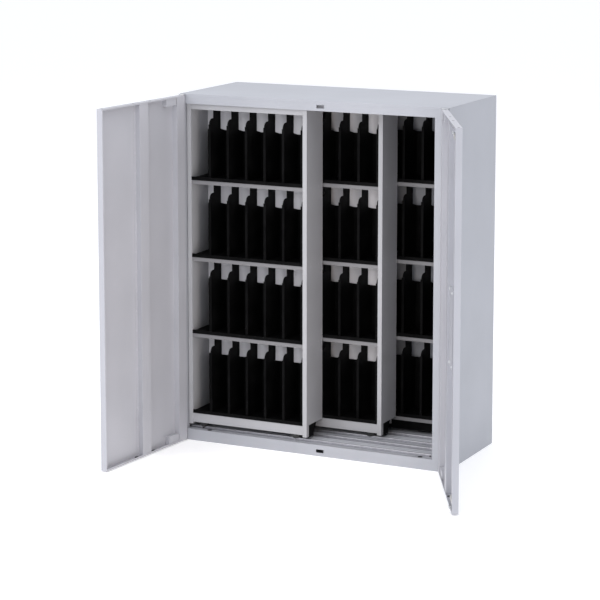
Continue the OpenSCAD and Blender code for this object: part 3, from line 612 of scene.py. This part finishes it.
for side, sign in door_sides:
    node = f"{side}_door_panel"
    pan = bmesh.new()
    pan.from_mesh(nodes[node].data)
    bmesh.ops.transform(pan, matrix=on_door(side).inverted(), verts=pan.verts[:])
    foot, head = min(v.co.z for v in pan.verts), max(v.co.z for v in pan.verts)
    lip_y = max(v.co.y for v in pan.verts) - lip_sheet
    for v in (v for v in pan.verts if v.co.y > lip_y):
        if abs(v.co.z - foot - cad_lip) < on_line:
            v.co.z = foot + lip
        elif abs(head - cad_lip - v.co.z) < on_line:
            v.co.z = head - lip
        if abs(abs(v.co.x) - meeting_half - cad_lip) < on_line:
            v.co.x = sign * (meeting_half + lip)
    bmesh.ops.transform(pan, matrix=on_door(side), verts=pan.verts[:])
    piece = new_piece(f"{side}_door_pan", pan, door_paint, f"{side}_door")
    piece.modifiers.clear()
    round_edges(piece, sheet_edge)
    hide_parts(node)


# Plugs of the doors' drain holes: black plastic buttons pushed in from inside, with a flange
# on the folded edge and a stem through it, three at the top of each door and three at the foot.
plug_r = 0.0068
plug_h = 0.0022
plug_taper = 0.8
stem_r = 0.0038
door_sheet = 0.0012
plug_places = (0.0135, 0.17525, 0.26525)
for side, sign in door_sides:
    lo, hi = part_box(f"{side}_door_panel")
    plugs = bmesh.new()
    for x in plug_places:
        for z, up in ((lo[2] + door_sheet, 1), (hi[2] - door_sheet, -1)):
            place = Vector((sign * x, door_hinge_y, z))
            flange_mid = place + Vector((0, 0, up * plug_h / 2))
            stem_mid = place - Vector((0, 0, up * door_sheet / 2))
            bmesh.ops.create_cone(
                plugs, cap_ends=True, segments=24, radius1=plug_r, radius2=plug_r * plug_taper,
                depth=plug_h, matrix=facing(flange_mid, (0, 0, up)))
            bmesh.ops.create_cone(
                plugs, cap_ends=True, segments=24, radius1=stem_r, radius2=stem_r,
                depth=door_sheet, matrix=facing(stem_mid, (0, 0, up)))
    bmesh.ops.transform(plugs, matrix=on_door(side), verts=plugs.verts[:])
    new_piece(f"{side}_door_drain_plugs", plugs, cap_plastic, f"{side}_door")


# Spot welds of the doors: a row of flat electrode marks down each flange of the hat stiffener,
# on the inside of the skin, coated over.
stiffener_half = 0.023
stiffener_flange = 0.010
door_mid_x = 0.22025
skin_inside_y = -0.2071
door_weld_pitch = 0.0605
for side, sign in door_sides:
    lo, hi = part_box(f"{side}_door_stiffener")
    welds = bmesh.new()
    count = int((hi[2] - lo[2]) / door_weld_pitch)
    for i in range(count):
        z = lo[2] + (i + 0.5) * (hi[2] - lo[2]) / count
        for off in (-1, 1):
            x = sign * door_mid_x + off * (stiffener_half + stiffener_flange / 2)
            weld_mark(welds, (x, skin_inside_y, z), (0, 1, 0))
    bmesh.ops.transform(welds, matrix=on_door(side), verts=welds.verts[:])
    new_piece(f"{side}_door_weld_marks", welds, door_paint, f"{side}_door")


# Latch of the right door: a coated lock case, zinc plated rods in pale nylon guides, and a sunk
# grip handle with its dish and lock cylinder in satin zinc.
finish(["lock_case"], door_paint)
latch_zinc = zinc_plate("latch_zinc")
handle_satin = zinc_plate("handle_satin", colour=(0.40, 0.40, 0.41), rough=0.38)
finish(["upper_latch_rod", "lower_latch_rod"], latch_zinc, small_edge)
finish(["rod_guides"], wheel_nylon, small_edge)
finish(["handle_dish", "handle", "lock_cylinder"], handle_satin)


# Screws of the lock case: four zinc plated pan heads near its corners, which hold it to the
# door.
case_x0, case_x1 = 0.0168, 0.1028
case_z0, case_z1 = 0.412, 0.640
case_face_y = -0.188
case_screw_in = 0.009
case_screw_r = 0.0038
case_screw_h = 0.0022
case_screws = bmesh.new()
for x in (case_x0 + case_screw_in, case_x1 - case_screw_in):
    for z in (case_z0 + case_screw_in, case_z1 - case_screw_in):
        socket_screw(case_screws, (x, case_face_y, z), (0, 1, 0), case_screw_r, case_screw_h)
bmesh.ops.transform(case_screws, matrix=on_door("right"), verts=case_screws.verts[:])
new_piece("lock_case_screws", case_screws, latch_zinc, "right_door")


# Rivets of the rod guides: two domed heads of zinc plated steel on each nylon block, which hold
# it to the door.
guide_face_y = -0.1917
guide_levels = (0.034, 1.066)
rivet_places = (0.012, 0.064)
rivet_r = 0.003
rivet_h = 0.0012
guide_rivets = bmesh.new()
for z in guide_levels:
    for x in rivet_places:
        seat = facing((x, guide_face_y, z), (0, 1, 0))
        bmesh.ops.create_uvsphere(
            guide_rivets, u_segments=20, v_segments=10, radius=1,
            matrix=seat @ Matrix.Diagonal((rivet_r, rivet_r, rivet_h, 1)))
bmesh.ops.transform(guide_rivets, matrix=on_door("right"), verts=guide_rivets.verts[:])
new_piece("rod_guide_rivets", guide_rivets, latch_zinc, "right_door")


# Stage: a pale seamless floor under a bright sky, soft boxes in front, beside, behind and above,
# and a small warm one between the doors. The camera stands where the photograph was taken.
floor_mesh = bpy.data.meshes.new("floor")
bm = bmesh.new()
bmesh.ops.create_grid(bm, x_segments=1, y_segments=1, size=20)
bm.to_mesh(floor_mesh)
bm.free()
floor = bpy.data.objects.new("floor", floor_mesh)
bpy.context.scene.collection.objects.link(floor)
floor_paint = bpy.data.materials.new("floor_paint")
floor_paint.use_nodes = True
floor_look = floor_paint.node_tree.nodes["Principled BSDF"].inputs
floor_look["Base Color"].default_value = (0.93, 0.93, 0.94, 1)
floor_look["Roughness"].default_value = 0.8
floor_look["Emission Color"].default_value = (1, 1, 1, 1)
floor_look["Emission Strength"].default_value = 0.22
floor_mesh.materials.append(floor_paint)
floor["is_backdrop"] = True

world = bpy.data.worlds.new("studio")
bpy.context.scene.world = world
world.use_nodes = True
sky_look = world.node_tree.nodes["Background"].inputs
sky_look["Color"].default_value = (0.93, 0.95, 1.0, 1)
sky_look["Strength"].default_value = 0.88


def soft_box(name, place, aim, size, power, colour=(1, 1, 1)):
    """An area light at a place, turned to a point and kept out of the picture."""
    light = bpy.data.lights.new(name, "AREA")
    light.shape = "RECTANGLE"
    light.size, light.size_y = size
    light.energy = power
    light.color = colour
    lamp = bpy.data.objects.new(name, light)
    lamp.location = place
    lamp.rotation_euler = (Vector(aim) - Vector(place)).to_track_quat("-Z", "Y").to_euler()
    lamp.visible_camera = False
    bpy.context.scene.collection.objects.link(lamp)


front_aim = (0, -0.2, 0.5)
front_size = (2.4, 2.4)
body_aim = (0, 0, 0.6)
fill_size = (3.0, 3.0)
warm = (1, 0.88, 0.77)
soft_box("key_left", (-3.4, -4.4, 3.0), front_aim, front_size, 50)
soft_box("key_middle", (-1.7, -5.3, 3.2), front_aim, front_size, 42)
soft_box("key_right", (0.6, -5.6, 2.6), front_aim, front_size, 40)
soft_box("side_fill", (4.8, 0.8, 2.0), body_aim, fill_size, 15)
soft_box("back_fill", (1.5, 4.5, 3.5), body_aim, fill_size, 18)
soft_box("overhead", (0.3, -0.6, 4.5), body_aim, fill_size, 74)
soft_box("door_glow", (0.42, -0.74, 0.56), (-0.6, -0.45, 0.56), (0.3, 1.0), 2.7, warm)

sensor_w = 36
focal_px = 2273
picture_px = 600
look_down = 8.45
look_left = 25.97
camera = bpy.data.cameras.new("camera")
camera.sensor_width = sensor_w
camera.lens = focal_px * sensor_w / picture_px
camera.shift_y = -0.2
view = bpy.data.objects.new("camera", camera)
view.location = (2.951, -6.324, 1.869)
view.rotation_euler = (math.radians(90 - look_down), 0, math.radians(look_left))
bpy.context.scene.collection.objects.link(view)
bpy.context.scene.camera = view
bpy.context.scene.view_settings.view_transform = "Standard"

lo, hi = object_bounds()
